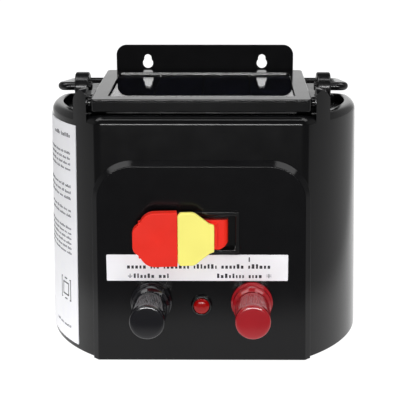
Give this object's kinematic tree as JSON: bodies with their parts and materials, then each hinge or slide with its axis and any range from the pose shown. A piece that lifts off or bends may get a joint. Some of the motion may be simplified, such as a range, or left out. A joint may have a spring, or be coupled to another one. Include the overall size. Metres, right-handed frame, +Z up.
{
  "type": "solar fence energizer",
  "caption": "Solar fence energizer: black moulded case with a tilting panel on top, fold-back carry handle, rocker switch with pull-out key, screw terminals, lamp and keyhole wall bracket.",
  "frame": {"origin": "centre of the base plate's underside, halfway between the flat front and back walls of the case", "axes": "+Z up; the front with the switch and terminals faces -Y; the wall bracket is on +Y; +X is to the right as seen from the front"},
  "size_m": [0.2131, 0.1582, 0.1914],
  "materials": {
    "case_black": "fine moulded satin",
    "panel_black": "moulded satin",
    "panel_glass": "clear flat cover glass",
    "solar_cell": "dark navy silicon with fine grid lines",
    "label_white": "printed film, satin",
    "bracket_black": "semi-gloss powder coat",
    "handle_black": "semi-gloss coated rod",
    "trim_black": "gloss",
    "switch_red": "satin gloss",
    "key_yellow": "satin gloss",
    "terminal_black": "gloss, fine straight knurl on the knob",
    "terminal_red": "gloss, fine straight knurl on the knob",
    "lamp_red": "translucent red",
    "brass": "plain",
    "steel": "zinc plated",
    "rubber": "matt",
    "battery_grey": "moulded",
    "board_green": "solder mask",
    "core_iron": "laminated",
    "coil_copper": "enamelled copper winding",
    "component_black": "moulded"
  },
  "bodies": {
    "root": {"base_plate": "case_black", "base_screw_1": "steel", "base_screw_2": "steel", "base_screw_3": "steel", "base_screw_4": "steel", "battery": "battery_grey", "battery_strap": "steel", "board_screw_1": "steel", "board_screw_2": "steel", "bracket_screw_1": "steel", "bracket_screw_2": "steel", "bracket_screw_3": "steel", "cable_grommet": "rubber", "case_shell": "case_black", "circuit_board": "board_green", "earth_collar": "terminal_black", "earth_nut": "steel", "earth_stud": "brass", "fascia_label": "label_white", "fence_collar": "terminal_red", "fence_nut": "steel", "fence_stud": "brass", "front_fascia": "case_black", "handle_post_left": "trim_black", "handle_post_right": "trim_black", "indicator_bezel": "trim_black", "indicator_led": "lamp_red", "indicator_lens": "lamp_red", "indicator_nut": "steel", "panel_pivot_pin_left": "steel", "panel_pivot_pin_right": "steel", "panel_pivot_washer_left": "trim_black", "panel_pivot_washer_right": "trim_black", "relay": "component_black", "side_label": "label_white", "storage_capacitor": "component_black", "switch_body": "trim_black", "switch_pivot_pin": "steel", "switch_tab_1": "brass", "switch_tab_2": "brass", "top_cover": "case_black", "transformer_coil": "coil_copper", "transformer_core": "core_iron", "wall_bracket": "bracket_black"},
    "panel": {"panel_frame": "panel_black", "panel_glass": "panel_glass", "panel_cell_1": "solar_cell", "panel_cell_2": "solar_cell", "panel_cell_3": "solar_cell", "panel_cell_4": "solar_cell", "panel_backing": "panel_black", "panel_junction_box": "panel_black"},
    "handle": {"carry_handle": "handle_black"},
    "rocker": {"switch_rocker": "switch_red"},
    "key": {"switch_key": "key_yellow"},
    "earth_clamp": {"earth_clamp_washer": "brass"},
    "earth_knob": {"earth_knob": "terminal_black"},
    "fence_clamp": {"fence_clamp_washer": "brass"},
    "fence_knob": {"fence_knob": "terminal_red"}
  },
  "joints": [
    {"name": "panel_tilt", "type": "hinge", "parent": "root", "child": "panel", "pos_m": [0, -0.0386, 0.165], "axis": [1, 0, 0], "range_deg": [0, 45]},
    {"name": "handle_swing", "type": "hinge", "parent": "root", "child": "handle", "pos_m": [0, 0, 0.1696], "axis": [1, 0, 0], "range_deg": [0, 180]},
    {"name": "switch_toggle", "type": "hinge", "parent": "root", "child": "rocker", "pos_m": [0.004, -0.051, 0.0845], "axis": [0, 0, 1], "range_deg": [0, 14]},
    {"name": "key_pull", "type": "slide", "parent": "rocker", "child": "key", "axis": [0.0872, -0.9962, 0], "range_m": [0, 0.03]},
    {"name": "earth_clamp_travel", "type": "slide", "parent": "root", "child": "earth_clamp", "axis": [0, -1, 0], "range_m": [0, 0.00601]},
    {"name": "earth_knob_turn", "type": "hinge", "parent": "earth_clamp", "child": "earth_knob", "pos_m": [-0.0318, -0.078, 0.04], "axis": [0, -1, 0], "range_deg": [0, 2160]},
    {"name": "fence_clamp_travel", "type": "slide", "parent": "root", "child": "fence_clamp", "axis": [0, -1, 0], "range_m": [0, 0.00601]},
    {"name": "fence_knob_turn", "type": "hinge", "parent": "fence_clamp", "child": "fence_knob", "pos_m": [0.0318, -0.078, 0.04], "axis": [0, -1, 0], "range_deg": [0, 2160]}
  ],
  "couplings": [
    {"joint": "earth_clamp_travel", "follows": "earth_knob_turn", "m_per_rad": 0.00015915},
    {"joint": "fence_clamp_travel", "follows": "fence_knob_turn", "m_per_rad": 0.00015915}
  ]
}
